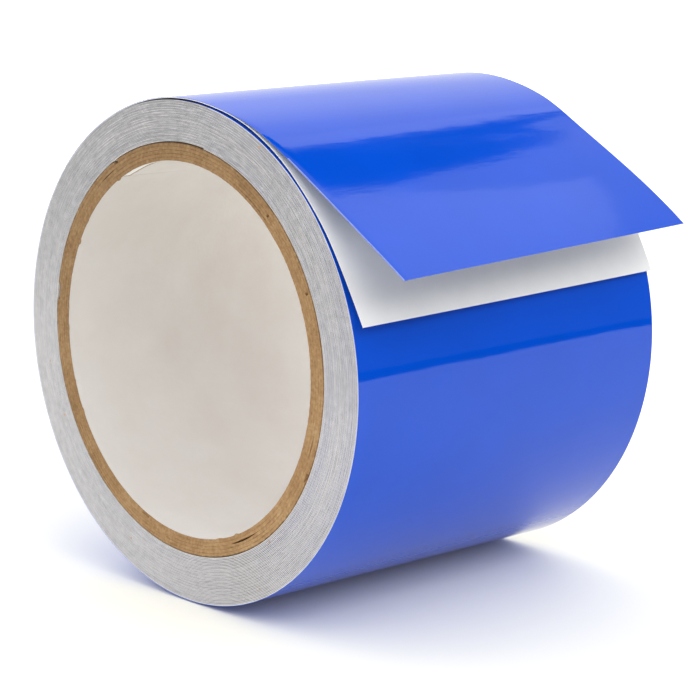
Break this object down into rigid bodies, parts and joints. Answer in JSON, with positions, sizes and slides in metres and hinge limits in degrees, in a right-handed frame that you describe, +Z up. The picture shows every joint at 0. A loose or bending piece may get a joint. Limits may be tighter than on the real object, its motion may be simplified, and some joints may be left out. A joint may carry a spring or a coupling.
{
  "type": "roll of sign vinyl",
  "caption": "Roll of glossy blue self-adhesive sign vinyl on a paper core, its end lifted and the film peeled off the white release liner.",
  "frame": {"origin": "middle of the core's bore, on its axis, halfway between the roll's two end faces", "axes": "+X along the bore, +Z up with the roll lying on its side, -Y towards the side that the lifted end hangs over"},
  "size_m": [0.082, 0.115, 0.1023],
  "materials": {
    "bore_paper": "satin",
    "kraft_board": "matte",
    "start_tape": "satin",
    "release_liner": "satin",
    "vinyl_film": "gloss"
  },
  "bodies": {
    "roll": {"core_bore_paper": "bore_paper", "core_kraft_ply_1": "kraft_board", "core_kraft_ply_2": "kraft_board", "core_kraft_ply_3": "kraft_board", "core_kraft_ply_4": "kraft_board", "core_kraft_ply_5": "kraft_board", "core_start_tape": "start_tape", "wound_release_liner": "release_liner", "wound_vinyl_film": "vinyl_film", "outer_turn_release_liner": "release_liner", "outer_turn_vinyl_film": "vinyl_film"},
    "lifted_tail": {"tail_release_liner": "release_liner", "tail_film_on_liner": "vinyl_film"},
    "film_flap": {"tail_film_flap": "vinyl_film"}
  },
  "joints": [
    {"name": "tail_lift", "type": "hinge", "parent": "roll", "child": "lifted_tail", "pos_m": [0, -0.00889, 0.05042], "axis": [-1, 0, 0], "range_deg": [0, 60]},
    {"name": "film_peel", "type": "hinge", "parent": "lifted_tail", "child": "film_flap", "pos_m": [0, -0.02583, 0.04474], "axis": [-1, 0, 0], "range_deg": [0, 120]}
  ]
}
